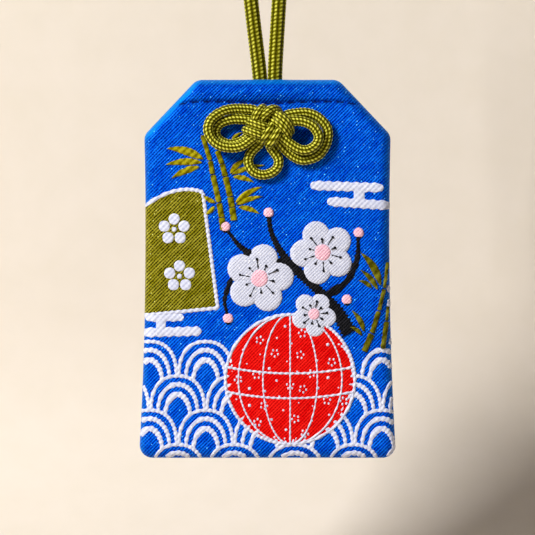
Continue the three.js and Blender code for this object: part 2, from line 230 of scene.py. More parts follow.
# outward normals, as (across, down), of the top, shoulder, side and bottom edges of the right half
EDGE_CORNERS = np.array([[HALF_TOP, 0.0], [HALF_SHOULDER, SHOULDER_DOWN], [HALF_BOTTOM, POUCH_DOWN]])
edge_run = np.diff(EDGE_CORNERS, axis=0)
EDGE_NORMALS = np.vstack([[0.0, -1.0], unit(edge_run[:, ::-1] * [1, -1]), [0.0, 1.0]])
EDGE_PLACES = EDGE_CORNERS[[0, 0, 1, 2]]
normal_sums = EDGE_NORMALS[:-1] + EDGE_NORMALS[1:]
normal_dots = (EDGE_NORMALS[:-1] * EDGE_NORMALS[1:]).sum(axis=1, keepdims=True)
corner_centres = EDGE_CORNERS - CORNER * normal_sums / (1 + normal_dots)
CORNERS = list(zip(corner_centres, EDGE_NORMALS[:-1], EDGE_NORMALS[1:]))


def side_bow(down):
    """How far the sides are drawn in at a depth: a parabola between the shoulder and the foot."""
    share = np.clip((down - SHOULDER_DOWN) / (POUCH_DOWN - SHOULDER_DOWN), 0, 1)
    return 4 * SIDE_BOW * share * (1 - share)


def half_width(down):
    """Half the pouch's width at a depth: the nearer of the shoulder and side lines, with an arc at each
    corner, less the bow of the sides."""
    shoulder = HALF_TOP + (HALF_SHOULDER - HALF_TOP) * down / SHOULDER_DOWN
    fall = (down - SHOULDER_DOWN) / (POUCH_DOWN - SHOULDER_DOWN)
    half = np.minimum(shoulder, HALF_SHOULDER + (HALF_BOTTOM - HALF_SHOULDER) * fall)
    for (centre, centre_down), first, last in CORNERS:
        off = down - centre_down
        on_arc = (off >= CORNER * first[1]) & (off <= CORNER * last[1])
        half = np.where(on_arc, centre + np.sqrt(np.maximum(CORNER**2 - off**2, 0)), half)
    return half - side_bow(down)


def edge_gaps(across, down):
    """Distances in from the four straight edges, with the sides' bow taken out."""
    place = np.stack([np.abs(across) + side_bow(down), down], axis=-1)
    return np.array([((spot - place) * n).sum(axis=-1) for spot, n in zip(EDGE_PLACES, EDGE_NORMALS)])


def edge_distance(across, down):
    """Distance in from the outline, with its sides' bow taken out: the least to its straight edges, or at a
    corner the radius less the distance to the corner's centre."""
    place = np.stack([np.abs(across) + side_bow(down), down], axis=-1)
    inside = edge_gaps(across, down).min(axis=0)
    for centre, first, last in CORNERS:
        arm = place - centre
        past_first = first[0] * arm[..., 1] - first[1] * arm[..., 0] >= 0
        before_last = arm[..., 0] * last[1] - arm[..., 1] * last[0] >= 0
        inside = np.where(past_first & before_last, CORNER - np.linalg.norm(arm, axis=-1), inside)
    return np.maximum(inside, 0)


def hem_line(across):
    """How far down the hem's stitches run: level, with a small sag behind the knot and a drop at each end."""
    ends = HEM_END_DROP * np.exp(-(((np.abs(across) - HEM_END) / HEM_END_HALF) ** 2))
    return HEM_DOWN + HEM_SAG * np.exp(-((across / HEM_SAG_HALF) ** 2)) + ends


def face_depth(across, down):
    """Distance of the cloth's outside from the middle plane: a full quarter round from the rim up to half the
    thickness, then a low crown, less the hem's groove, puckers along the seam, slow hollows and the dimple
    behind the knot. The rims touch along the top and the shoulders, but for the mouth, and stand apart for
    the thread below."""
    inside = edge_distance(across, down)
    rise = (1 - (1 - np.minimum(inside / ROLL, 1)) ** ROLL_FULLNESS) ** (1 / ROLL_FULLNESS)
    mouth = MOUTH_OPEN * np.exp(-((across / MOUTH_HALF) ** 6)) * np.exp(-((down / MOUTH_DEEP) ** 2))
    sewn = np.clip((down - SEAM_START) / SEAM_EASE, 0, 1)
    rim = CLOSED_RIM + (RIM - CLOSED_RIM) * sewn + mouth
    crown = CROWN * (1 - (across / CROWN_HALF) ** 2) * (1 - ((down - CROWN_DOWN) / CROWN_TALL) ** 2)
    bulge = BAND_BULGE + BAND_SWELL * np.exp(-((across / BAND_SWELL_HALF) ** 2))
    band = bulge * np.sin(np.pi * np.clip(down / HEM_DOWN, 0, 1))
    stitch_pull = 1 - STITCH_EASE + STITCH_EASE * np.cos(2 * np.pi * across / HEM_PITCH)
    groove = HEM_DEPTH * stitch_pull * np.exp(-(((down - hem_line(across)) / HEM_WIDTH) ** 2))
    pucker = PUCKER * np.exp(-inside / PUCKER_REACH) * (1 - np.cos(2 * np.pi * down / PUCKER_PITCH)) / 2
    hollow = HOLLOW * np.sin(0.31 * across + 0.9) * np.sin(0.21 * down + 1.1)
    hollow += RUMPLE * np.sin(0.62 * across - 0.33 * down)
    hollow -= DIMPLE * np.exp(-((across / DIMPLE_HALF) ** 2) - ((down - DIMPLE_DOWN) / DIMPLE_TALL) ** 2)
    return rim + (HALF_THICK - rim) * rise + rise * (crown + band - groove - pucker + hollow)


def on_face(across, down, lift, side):
    """Points on the front (side -1) or back (side 1) face, moved out along the face's normal by a lift."""
    step = 0.04
    depth = face_depth(across, down)
    slope_across = (face_depth(across + step, down) - face_depth(across - step, down)) / (2 * step)
    slope_down = (face_depth(across, down + step) - face_depth(across, down - step)) / (2 * step)
    normal = unit(np.stack([-slope_across, np.full_like(depth, side), slope_down], axis=-1))
    spot = np.stack([across, side * depth, TOP - down], axis=-1)
    return spot + normal * np.asarray(lift)[..., None]


def ripples(add, place, pitch, drift=0.0):
    """Sine waves from -1 to 1, a pitch in millimetres apart along a place and moved on by a drift."""
    turns = {0: place, 1: 2 * np.pi / (pitch * MM), 2: drift}
    phase = add("Math", turns, operation="MULTIPLY_ADD")
    return add("Math", {0: phase}, operation="SINE")


def finish(add, shader, ground, layers, height, depth, values):
    """Sets up a shader: a ground colour with tints laid over it by their shares, a relief of a depth in
    millimetres from a height, and plain values."""
    colour = linear(ground)
    for share, tint in layers:
        tone = {0: share, 6: colour, 7: linear(tint)}
        colour = add("Mix", tone, data_type="RGBA").outputs[2]
    bump = add("Bump", {"Height": height, "Distance": depth * MM})
    set_inputs(shader, {"Base Color": colour, "Normal": bump, **values})


def brocade(
    name, groove, thread, sheen, glint, glints=0.5, rib_height=0.09, pitch=TWILL, metal=0.0, shine=None
):
    """Silk brocade in a twill weave: ribs that rise to the right, 0.7 of a pitch apart, darker between them
    with painted shade and beaded by the yarns that cross them. Each rib's crest carries a painted sheen,
    which changes every few millimetres along it, with a fine grain of yarn, and specks of metal thread 0.2 mm
    wide carry painted glints. A fold presses the ribs flat and carries a painted highlight in the colour of
    the shine, which also tints the gloss."""
    material, add, shader, coords = new_material(name)
    shine = shine or sheen
    x, _, z = add("SeparateXYZ", {0: coords}).outputs
    falling, rising = (add("Math", {0: x, 1: z}, operation=way) for way in ("ADD", "SUBTRACT"))
    cloud, yarn = (
        add("TexNoise", {"Vector": coords, "Scale": scale, "Detail": 2.0}) for scale in (320.0, 3000.0)
    )
    drift = add("Math", {0: cloud, 1: 0.9}, operation="MULTIPLY")
    rib, bead = ripples(add, rising, pitch, drift), ripples(add, falling, pitch)
    woven = -0.2
    for part, share in ((yarn, 1.5), (bead, 0.16), (rib, 0.5)):
        woven = add("Math", {0: part, 1: share, 2: woven}, operation="MULTIPLY_ADD")
    woven.use_clamp = True
    # the fold's share presses the ribs flat and also paints a highlight in the shine's colour
    fold_and_highlight = add("Attribute", attribute_name="fold_and_highlight").outputs["Fac"]
    height = add("Mix", {0: fold_and_highlight, 2: woven, 3: 0.75})
    floss_size = (pitch * MM / np.sqrt(2), pitch * MM, 4 * pitch * MM)
    floss = {"Vector": coords, "Rotation": (0.0, np.pi / 4, 0.0), "Scale": floss_size}
    along_rib = add("Mapping", floss, vector_type="TEXTURE")
    tones = add("TexNoise", {"Vector": along_rib, "Scale": 1.0, "Detail": 2.0})
    spread = {0: tones, 1: 2.6, 2: -0.95}
    pale = add("Math", spread, operation="MULTIPLY_ADD", use_clamp=True)
    # painted sheen: the tones along each rib, laid on its crest
    lit = add("Math", {0: pale, 1: height}, operation="MULTIPLY")
    # specks of metal thread, with painted glints
    specks = add("TexVoronoi", {"Vector": coords, "Scale": 1000.0})
    near = add("Math", {0: specks, 1: 0.11}, operation="LESS_THAN")
    few = {0: specks.outputs["Color"], 1: 1 - glints}
    chosen = add("Math", few, operation="GREATER_THAN")
    speck = add("Math", {0: near, 1: chosen}, operation="MULTIPLY")
    # groove to thread is painted shade, then painted sheen, the fold's painted highlight and painted glints
    layers = ((height, thread), (lit, sheen), (fold_and_highlight, shine), (speck, glint))
    silk = {"Metallic": metal, "Roughness": 0.45, "Specular IOR Level": 0.1, "Specular Tint": linear(shine)}
    silk |= {"Sheen Weight": 0.6, "Sheen Roughness": 0.35, "Sheen Tint": linear(shine)}
    finish(add, shader, groove, layers, height, rib_height, silk)
    return material


def cloth_sheet(name, node, across, down, depth, side, thick, material):
    """A sheet of cloth on a grid of places, a depth off the middle plane and thickened inwards."""
    points = np.stack([across, side * depth, TOP - down], axis=-1)
    faces = grid_quads(np.arange(across.size).reshape(across.shape))[:, ::-side]
    sheet = make_piece(name, [(points, [faces])], material, closed=False)
    thickness = sheet.modifiers.new("cloth_thickness", "SOLIDIFY")
    thickness.thickness, thickness.offset = thick * MM, -1.0
    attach(sheet, "pouch")
    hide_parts(node)
    return sheet


def mark_points(piece, name, values):
    """Gives each point of a piece a value under a name, for its material to read."""
    marks = piece.data.attributes.new(name, "FLOAT", "POINT")
    marks.data.foreach_set("value", np.ravel(values).astype(np.float32))


BLUE = brocade("blue_twill_brocade", *BLUES, 0.9, metal=0.3, shine=BLUE_SHINE)
# the rows and columns are closer on the rolled edges, and the rows about the hem
HEM_FROM, HEM_TO = 3.4, 5.6
curl = ROLL * (1 - np.cos(np.linspace(0, np.pi / 2, 12)))
above_hem, at_hem = np.linspace(ROLL, HEM_FROM, 5), np.linspace(HEM_FROM, HEM_TO, 24)
below_hem = np.linspace(HEM_TO, POUCH_DOWN - ROLL, 150)
rows = np.concatenate([curl, above_hem[1:], at_hem[1:], below_hem[1:], (POUCH_DOWN - curl[::-1])[1:]])
edge_share = curl / HALF_BOTTOM
middle_share = np.linspace(-1 + edge_share[-1], 1 - edge_share[-1], 110)
panel_share = np.concatenate([edge_share - 1, middle_share[1:-1], 1 - edge_share[::-1]])
panel_across = half_width(rows)[:, None] * panel_share[None, :]
panel_down = np.broadcast_to(rows[:, None], panel_across.shape)
panel_depth = face_depth(panel_across, panel_down)
# fold shares of the edges, which also set how much painted highlight they carry
fold_and_highlight_in = np.clip(edge_gaps(panel_across, panel_down) / FOLD_AND_HIGHLIGHT_WIDTH, 0, 1)
fold_and_highlight_shares = np.where(panel_across < 0, *np.array([LEFT_FOLDS_AND_HIGHLIGHTS, RIGHT_FOLDS_AND_HIGHLIGHTS])[:, :, None, None])
panel_fold_and_highlight = (fold_and_highlight_shares * (1 - fold_and_highlight_in**4)).max(axis=0)

for face, side in FACES:
    names = (f"{face}_brocade", f"{face}_panel")
    panel = cloth_sheet(*names, panel_across, panel_down, panel_depth, side, CLOTH, BLUE)
    mark_points(panel, "fold_and_highlight", panel_fold_and_highlight)

# Waves across the foot of the front: rows of round scales in white floss, each of three nested arches whose
# legs run down to the arch of the row below. Like all the ornament they are stitched proud of the twill, and
# their edges waver where the floss rides over its ribs.
# the white floss: groove with painted shade, thread, painted sheen and painted glint
WHITES = ("#b8bcd6", "#d2d6ea", "#eaecfa", "#ffffff")
WAVE_PITCH, WAVE_ROW, WAVE_TOP, WAVE_FIRST, WAVE_LIFT = 10.4, 6.37, 48.7, -21.85, 0.13
WAVE_ROWS, BARE_FROM = 4, 15.0
# half width at the foot, drop of the crown, fullness, and the line's half width at the crown and the foot
WAVE_ARCHES = (
    (4.98, 0.0, 2.35, 0.33, 0.33),
    (3.65, 1.57, 2.05, 0.45, 0.31),
    (2.3, 3.4, 1.9, 0.52, 0.33),
)
# the arches right of a place are drawn aside, more and more over a width
WAVE_STRETCH, STRETCH_FROM, STRETCH_OVER = 1.45, -5.0, 15.0
ORNAMENT_EDGE, SUNK, FINE_STEP, STEP = 0.1, 0.12, 0.17, 0.2
WAVER, LUMP = 0.2, 60 / 57


def twill_waver(across, down):
    """The weave's own wave, from -1 to 1, along its diagonal, one stitch of floss to a lump."""
    return np.sin(2 * np.pi * (across + down) / LUMP)


def strip(spine, half, lift, columns=6, waver=WAVER):
    """A stitched line as (across, down, lift) grids: its spine is moved sideways by shares of a half width
    that wavers with the twill, but not past the seam, and the lift is that of a low dome across it."""
    run = unit(np.gradient(spine, axis=0))
    share = np.sin(np.linspace(-np.pi / 2, np.pi / 2, columns))[None, :]
    lumps = 1 + waver * twill_waver(spine[:, 0], spine[:, 1])
    reach = (np.broadcast_to(half, len(spine)) * lumps)[:, None] * share
    down = np.minimum(spine[:, 1:] + run[:, :1] * reach, POUCH_DOWN - ORNAMENT_EDGE / 2)
    limit = half_width(down) - ORNAMENT_EDGE / 2
    across = np.clip(spine[:, :1] - run[:, 1:] * reach, -limit, limit)
    dome = lift * np.sqrt(1 - 0.96 * share**2) * (1 + 0.15 * twill_waver(across, down))
    return across, down, dome


def shell(upper, lower):
    """A closed patch: two grids of points, with quads that join them round their rims."""
    index = np.arange(upper.size // 3).reshape(upper.shape[:2])
    rim = np.concatenate([index[0, :-1], index[:-1, -1], index[-1, :0:-1], index[:0:-1, 0]])
    under = rim + index.size
    sides = np.stack([rim, under, np.roll(under, -1), np.roll(rim, -1)], axis=1)
    faces = [grid_quads(index), grid_quads(index + index.size)[:, ::-1], sides]
    return np.concatenate([upper, lower]), faces


def raised_piece(name, patches, material, side=-1):
    """One mesh of many (across, down, lift) patches: each top stands off the face by its lift, and its
    underside lies a little below the face."""
    shells = []
    for across, down, lift in patches:
        shells.append(shell(*(on_face(across, down, height, side) for height in (lift, -SUNK))))
    piece = make_piece(name, shells, material)
    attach(piece, "pouch")
    return piece


def gone_along(line):
    """How far along a line each of its points lies."""
    return np.concatenate([[0.0], np.cumsum(np.linalg.norm(np.diff(line, axis=0), axis=1))])


def smooth_line(points, step):
    """A Catmull-Rom curve through points of any dimension, respaced to even steps along its length."""
    p = np.asarray(points, dtype=float)
    q = np.vstack([2 * p[0] - p[1], p, 2 * p[-1] - p[-2]])
    a, b, c, d = (q[i : len(q) - 3 + i, None] for i in range(4))
    t = np.linspace(0, 1, 32, endpoint=False)[None, :, None]
    bends = 0.5 * (2 * b + (c - a) * t + (2 * a - 5 * b + 4 * c - d) * t**2 + (3 * b - a - 3 * c + d) * t**3)
    line = np.vstack([bends.reshape(-1, p.shape[1]), p[-1:]])
    gone = gone_along(line)
    even = np.linspace(0, gone[-1], max(int(round(gone[-1] / step)), 4) + 1)
    return np.stack([np.interp(even, gone, column) for column in line.T], axis=1)


def within_outline(spine):
    """The part of a line that lies on the face, clear of the seam: its longest unbroken stretch."""
    kept = edge_distance(spine[:, 0], spine[:, 1]) > ORNAMENT_EDGE
    runs = np.split(np.arange(len(spine)), np.flatnonzero(np.diff(kept.astype(int))) + 1)
    best = max((run for run in runs if kept[run[0]]), key=len, default=[])
    return spine[best]


def wave_arch(middle, top, half, drop, fullness, crown_line, foot_line):
    """An arch and its line's half width: a superellipse that stands on the outer arch of the row below, where
    the cosine and sine of a half turn are raised to two over its fullness."""
    outer, outer_fullness = WAVE_ARCHES[0][0], WAVE_ARCHES[0][2]
    aside = (WAVE_PITCH / 2 - half) / outer
    foot = top + WAVE_ROW * (2 - (1 - aside**outer_fullness) ** (1 / outer_fullness))
    tall = foot - top - drop
    angle = np.linspace(np.pi, 0, 41)
    sideways = half * np.sign(np.cos(angle)) * np.abs(np.cos(angle)) ** (2 / fullness)
    rise = tall * np.sin(angle).clip(0) ** (2 / fullness)
    spine = smooth_line(np.stack([middle + sideways, foot - rise], axis=1), FINE_STEP)
    spine[:, 0] += WAVE_STRETCH * np.clip((spine[:, 0] - STRETCH_FROM) / STRETCH_OVER, 0, 1)
    spine = within_outline(spine)
    return spine, foot_line + (crown_line - foot_line) * (foot - spine[:, 1]) / tall


WHITE = brocade("white_floss", *WHITES, rib_height=0.018, pitch=LUMP)
arches = []
for row in range(WAVE_ROWS):
    for column in range(-1, 6):
        middle = WAVE_FIRST + WAVE_PITCH * (column + 0.5 * (row % 2))
        # the last scales of the top row have no outer arch
        for arch in WAVE_ARCHES[1:] if row == 0 and middle > BARE_FROM else WAVE_ARCHES:
            spine, half = wave_arch(middle, WAVE_TOP + WAVE_ROW * row, *arch)
            if len(spine) > 5:
                arches.append(strip(spine, half, WAVE_LIFT))
raised_piece("wave_embroidery", arches, WHITE)

# Mist clouds, two on the front: long bars of white floss with round ends, joined by a short stem. The floss
# is couched down in lumps, as a rope's strands are. Those at the sides run into the seam.
CLOUD_LIFT, CLOUD_LUMP = 0.2, 1.7
# from across, to across, middle down at both ends, half width
CLOUD_BARS = (
    (7.95, 21.5, 19.75, 20.2, 0.86),
    (11.05, 22.9, 22.7, 23.5, 0.86),
    (-22.6, -15.5, 44.3, 44.2, 0.72),
    (-23.3, -12.2, 47.05, 46.75, 0.86),
)
CLOUD_STEMS = ((17.0, 20.4, 22.8, 1.0), (-19.75, 44.5, 46.8, 0.9))
# tufts at the right seam: across, middle down, half width and length
CLOUD_TUFTS = ((22.5, 38.9, 0.33, 1.4), (22.55, 41.6, 0.36, 1.5), (22.8, 48.7, 0.3, 1.2))


def round_bar(start, end, first_down, last_down, half):
    """A bar whose half width follows a circle at both ends and swells in even lumps between them."""
    along = np.linspace(0, np.pi, int((end - start) / 0.1))
    spine_x = (start + end) / 2 - (end - start) / 2 * np.cos(along)
    spine_down = first_down + (last_down - first_down) * (spine_x - start) / (end - start)
    spine = within_outline(np.stack([spine_x, spine_down], axis=1))
    to_end = np.minimum(spine[:, 0] - start, end - spine[:, 0])
    ends = np.sqrt(np.maximum(1 - np.maximum(1 - to_end / (1.3 * half), 0) ** 2, 0.002))
    lumps = 1 + 0.12 * np.cos(2 * np.pi * (spine[:, 0] - start) / CLOUD_LUMP)
    return strip(spine, half * ends * lumps, CLOUD_LIFT, columns=9, waver=0.0)


clouds = [round_bar(*bar) for bar in CLOUD_BARS]
for across, first, last, half in CLOUD_STEMS:
    stem = np.linspace((across, first), (across, last), 14)
    clouds.append(strip(stem, half, 0.9 * CLOUD_LIFT, columns=9, waver=0.0))
tuft = np.sqrt(1 - np.linspace(-0.99, 0.99, 12) ** 2)
for across, down, half, length in CLOUD_TUFTS:
    spine = np.linspace((across, down - length / 2), (across, down + length / 2), 12)
    clouds.append(strip(spine, half * tuft, CLOUD_LIFT))
raised_piece("cloud_embroidery", clouds, WHITE)

# Bamboo at the left and the right: jointed canes and lance leaves in olive satin stitch, a little padded.
# Each cane is a row of short lengths that swell at their ends, and each leaf a pointed lens with a bent back.
CANE_LIFT, LEAF_LIFT, JOINT_GAP = 0.36, 0.3, 0.025
# joints of each cane, as (across, down), and half its width at the top and at the foot
CANES = (
    (((-12.1, 10.3), (-10.62, 15.2), (-10.15, 17.7), (-8.96, 23.0), (-8.5, 25.7), (-8.16, 28.1)), 0.5, 0.66),
    (((-9.35, 13.3), (-8.4, 15.8), (-7.8, 18.1), (-6.9, 21.9), (-6.57, 23.8), (-6.2, 26.3)), 0.56, 0.68),
    (((22.25, 33.9), (21.65, 38.9), (20.65, 43.0), (19.35, 47.2), (17.9, 50.6)), 0.3, 0.64),
    (((22.3, 42.2), (22.1, 44.9), (21.35, 50.2)), 0.26, 0.5),
)
# foot and tip of each leaf, half its width and how far its back bends
LEAVES = (
    ((-11.9, 14.9), (-18.7, 12.9), 0.78, -0.55),
    ((-12.1, 15.5), (-18.9, 15.9), 0.66, -0.35),
    ((-12.6, 16.3), (-17.8, 18.4), 0.62, -0.3),
    ((-6.9, 17.6), (-3.9, 14.9), 0.55, 0.4),
    ((-6.7, 17.8), (-0.5, 16.0), 0.5, 0.4),
    ((-6.4, 18.2), (-2.5, 19.2), 0.5, 0.3),
    ((-6.7, 11.5), (-4.6, 9.9), 0.36, 0.25),
    ((-5.9, 23.0), (-1.0, 20.0), 0.55, 0.4),
    ((-5.8, 23.4), (-0.9, 21.8), 0.5, 0.3),
    ((-5.4, 23.8), (-1.5, 25.0), 0.5, 0.3),
    ((-9.6, 22.9), (-12.0, 21.5), 0.45, 0.2),
    ((-9.9, 23.6), (-11.5, 25.1), 0.4, 0.2),
    ((20.9, 38.3), (17.2, 32.2), 0.72, -0.7),
    ((20.4, 39.1), (17.2, 35.4), 0.52, -0.4),
    ((19.3, 38.8), (16.9, 37.4), 0.42, -0.3),
    ((17.9, 46.9), (15.6, 42.9), 0.52, -0.4),
    ((17.5, 47.6), (15.3, 46.0), 0.42, -0.3),
)
# name, tones, height and pitch of each kind of stitch; the tones are groove with painted shade, thread,
# painted sheen and painted glint
SATINS = (
    ("yellow", ("#665a00", "#9a8e08", "#b4a820", "#d0c858"), 0.08, 1.5),
    ("olive", ("#544d00", "#827b04", "#9a931a", "#b8b24a"), 0.05, 2.2),
    # the dark satin is a darker copy of the olive one: painted shade for the bamboo at the right, which lies
    # in shadow
    ("shaded_olive", ("#3e3a04", "#66620c", "#7c7822", "#a8a250"), 0.05, 2.2),
)
LEAF, CANE, SHADED_CANE = (
    brocade(f"{name}_satin_stitch", *tones, 0.2, *stitch) for name, tones, *stitch in SATINS
)


def cane_length(first, last, half):
    """A straight length between two joints: waisted in the middle and swollen at both ends, short of the
    joints by a small gap."""
    along = np.linspace(JOINT_GAP, 1 - JOINT_GAP, 30)
    spine = within_outline(np.array(first) * (1 - along[:, None]) + np.array(last) * along[:, None])
    swell = 0.88 + 0.12 * np.abs(2 * along - 1) ** 3
    to_end = np.minimum(along, 1 - along) - JOINT_GAP
    width = half * swell * np.sqrt(np.minimum(1, 0.3 + 20 * to_end))
    return strip(spine, width[: len(spine)], CANE_LIFT, waver=0.05)


def leaf(foot, tip, half, bend):
    """A lens along a bent line: the half width is that of a sine bulge, fullest nearer the foot."""
    along = np.linspace(0.01, 0.99, 30)[:, None]
    run = np.array(tip) - np.array(foot)
    square = np.array([run[1], -run[0]]) / np.linalg.norm(run)
    spine = np.array(foot) + run * along + square * bend * 4 * along * (1 - along)
    width = half * np.sin(np.pi * along[:, 0] ** 0.8) ** 0.85
    return strip(spine, np.maximum(width, 0.03), LEAF_LIFT, waver=0.06)


left_canes, right_bamboo = [], [leaf(*one) for one in LEAVES if one[0][0] > 0]
for joints, first, last in CANES:
    halves = np.linspace(first, last, len(joints) - 1)
    lengths = [cane_length(a, b, half) for a, b, half in zip(joints, joints[1:], halves)]
    (left_canes if joints[0][0] < 0 else right_bamboo).extend(lengths)
raised_piece("leaf_embroidery", [leaf(*one) for one in LEAVES if one[0][0] < 0], LEAF)
raised_piece("cane_embroidery", left_canes, CANE)
# the bamboo at the right is in the darker satin, painted shade
raised_piece("right_bamboo_embroidery", right_bamboo, SHADED_CANE)

# A plaque at the left edge: a field of olive and dark ribs with an arched top, edged in white floss.
# It carries two plain plum crests, each five round petals about a dot.
PLAQUE_LIFT, BORDER_HALF, BORDER_LIFT, CREST_LIFT = 0.1, 0.36, 0.2, 0.2
PLAQUE_ROWS, PLAQUE_COLUMNS = 90, 56
# the top's height, the share across at its peak, and how it falls to the left and the right of that
PLAQUE_TOP, PLAQUE_PEAK, LEFT_FALL, RIGHT_FALL = 20.5, 0.75, 3.0, 8.0
# the foot and its slant, and the right side and its slant
PLAQUE_FOOT, FOOT_SLANT, PLAQUE_SIDE, SIDE_DOWN, SIDE_SLANT = 43.8, 1.35, -12.0, 21.0, 0.129
# the crests, and the shares of their radius out to the petals, of a petal and of the dot
CREST_PLACES, CREST_RADIUS, PETAL_COUNT = ((-17.3, 27.9), (-16.3, 36.6)), 3.1, 5
CREST_OUT, CREST_PETAL, CREST_DOT = 0.62, 0.36, 0.17


def plaque_place(share, fall):
    """A place on the plaque, by its shares from the seam to the slanted side and from the arched top, a
    parabola on each side of its peak, to the foot."""
    arch = np.where(share < PLAQUE_PEAK, LEFT_FALL / PLAQUE_PEAK**2, RIGHT_FALL) * (share - PLAQUE_PEAK) ** 2
    down = (PLAQUE_TOP + arch) * (1 - fall) + (PLAQUE_FOOT - FOOT_SLANT * share) * fall
    left = ORNAMENT_EDGE - half_width(down)
    right = PLAQUE_SIDE + SIDE_SLANT * (down - SIDE_DOWN)
    return left + (right - left) * share, down


def disc(middle, radius, lift, cells=10, tall=1.0, lean=0.0):
    """A round or oval patch: a square grid drawn into a circle, domed, with a wavering edge."""
    share = np.linspace(-1, 1, cells + 1)
    u, v = np.meshgrid(share, share, indexing="ij")
    u, v = u * np.sqrt(1 - v**2 / 2), v * np.sqrt(1 - u**2 / 2)
    out, v = np.hypot(u, v), tall * v
    x, y = radius * (u * np.cos(lean) - v * np.sin(lean)), radius * (u * np.sin(lean) + v * np.cos(lean))
    waver = WAVER / 2 * min(1, 0.35 / radius) * twill_waver(middle[0] + x, middle[1] + y)
    ease = 1 + waver * out**4
    return middle[0] + x * ease, middle[1] + y * ease, lift * np.sqrt(np.maximum(1 - 0.95 * out**6, 0))


def ring_of(middle, radius, count, first=0.0):
    """Places spread evenly round a circle."""
    angle = first + 2 * np.pi * np.arange(count) / count
    return [(middle[0] + radius * np.sin(a), middle[1] - radius * np.cos(a)) for a in angle]


# groove with painted shade, thread, painted sheen and painted glint
PLAQUE = brocade("olive_ribbed_field", "#0e0a00", "#857e0c", "#b0a838", "#d8d470", rib_height=0.08)
share, fall = np.meshgrid(np.linspace(0, 1, PLAQUE_COLUMNS), np.linspace(0, 1, PLAQUE_ROWS))
raised_piece("plaque_embroidery", [(*plaque_place(share, fall), PLAQUE_LIFT)], PLAQUE)
once, none, full = np.linspace(0, 1, 60), np.zeros(60), np.ones(60)
border_edges = ((once[:-2], none[:-2]), (full[1:-1], once[1:-1]), (once[-2::-1], full[1:]))
border_line = np.concatenate([np.stack(plaque_place(*edge), axis=1) for edge in border_edges])
plaque_border = [strip(smooth_line(border_line, FINE_STEP), BORDER_HALF, BORDER_LIFT)]
for middle in CREST_PLACES:
    petals = ring_of(middle, CREST_OUT * CREST_RADIUS, PETAL_COUNT)
    plaque_border += [disc(place, CREST_PETAL * CREST_RADIUS, CREST_LIFT) for place in petals]
    plaque_border += [disc(middle, CREST_DOT * CREST_RADIUS, CREST_LIFT, cells=6)]
raised_piece("plaque_border_embroidery", plaque_border, WHITE)

# A thread ball in red floss at the foot of the front, over the waves: a disc with a white edge, laid with
# white threads along its gores and round its middle, and sprinkled with small white blossoms.
# groove with painted shade, thread, painted sheen and painted glint
REDS = ("#b00202", "#e80e0e", "#f5281f", "#ff6a5c")
BALL_PLACE, BALL_RADIUS, BALL_LIFT, EDGE_HALF, EDGE_LIFT = (4.2, 55.7), 12.0, 0.2, 0.3, 0.28
GORES, GORE_HALF, GORE_LIFT, GORE_REACH = (0.0, 0.42, 0.8), 0.2, 0.3, 0.985
BAND_DROPS, BAND_SAG, BAND_HALF, BAND_LIFT = (-2.3, 2.3), 0.1, 0.26, 0.35
BLOSSOM_COUNT, BLOSSOM_LIFT, GOLDEN_TURN, SPIRAL_REACH = 46, 0.26, 2.39996, 0.9
# every third blossom is a ring of oval dots, and the others are one dot each, in four sizes
RING_RADIUS, RING_DOT, RING_TALL, LEAST_DOT, DOT_STEP = 0.62, 0.25, 1.3, 0.2, 0.07
RED = brocade("red_floss", *REDS, glints=0.12, rib_height=0.04)
raised_piece("ball_embroidery", [disc(BALL_PLACE, BALL_RADIUS, BALL_LIFT, cells=72)], RED)


def ball_place(sideways, fall):
    """A place on the ball by its shares of the radius."""
    return np.stack([BALL_PLACE[0] + BALL_RADIUS * sideways, BALL_PLACE[1] + BALL_RADIUS * fall], axis=1)


full_turn = np.linspace(0, 2 * np.pi, 200)
edge_line = smooth_line(ball_place(np.cos(full_turn), np.sin(full_turn)), FINE_STEP)
ball_lines = [strip(edge_line, EDGE_HALF, EDGE_LIFT)]
half_turn = np.linspace(-1.0, 1.0, 60) * np.pi / 2 * GORE_REACH
for gore in GORES:
    for hand in (-1, 1) if gore else (1,):
        line = ball_place(hand * gore * np.cos(half_turn), np.sin(half_turn))
        ball_lines.append(strip(smooth_line(line, STEP), GORE_HALF, GORE_LIFT, columns=4))
for drop in BAND_DROPS:
    reach = np.sqrt(1 - (drop / BALL_RADIUS) ** 2)
    sideways = np.linspace(-reach, reach, 60)
    line = ball_place(sideways, drop / BALL_RADIUS + BAND_SAG * (1 - (sideways / reach) ** 2))
    ball_lines.append(strip(smooth_line(line, STEP), BAND_HALF, BAND_LIFT, columns=4))
for k in range(BLOSSOM_COUNT):
    out, turn = SPIRAL_REACH * np.sqrt((k + 0.5) / BLOSSOM_COUNT), k * GOLDEN_TURN
    spot = ball_place(np.array([out * np.sin(turn)]), np.array([out * np.cos(turn)]))[0]
    if k % 3:
        ball_lines.append(disc(spot, LEAST_DOT + DOT_STEP * (k % 4), BLOSSOM_LIFT, cells=4))
    else:
        dots = ring_of(spot, RING_RADIUS, PETAL_COUNT, first=k)
        ball_lines += [disc(dot, RING_DOT, BLOSSOM_LIFT, cells=4, tall=RING_TALL) for dot in dots]
raised_piece("ball_thread_embroidery", ball_lines, WHITE)

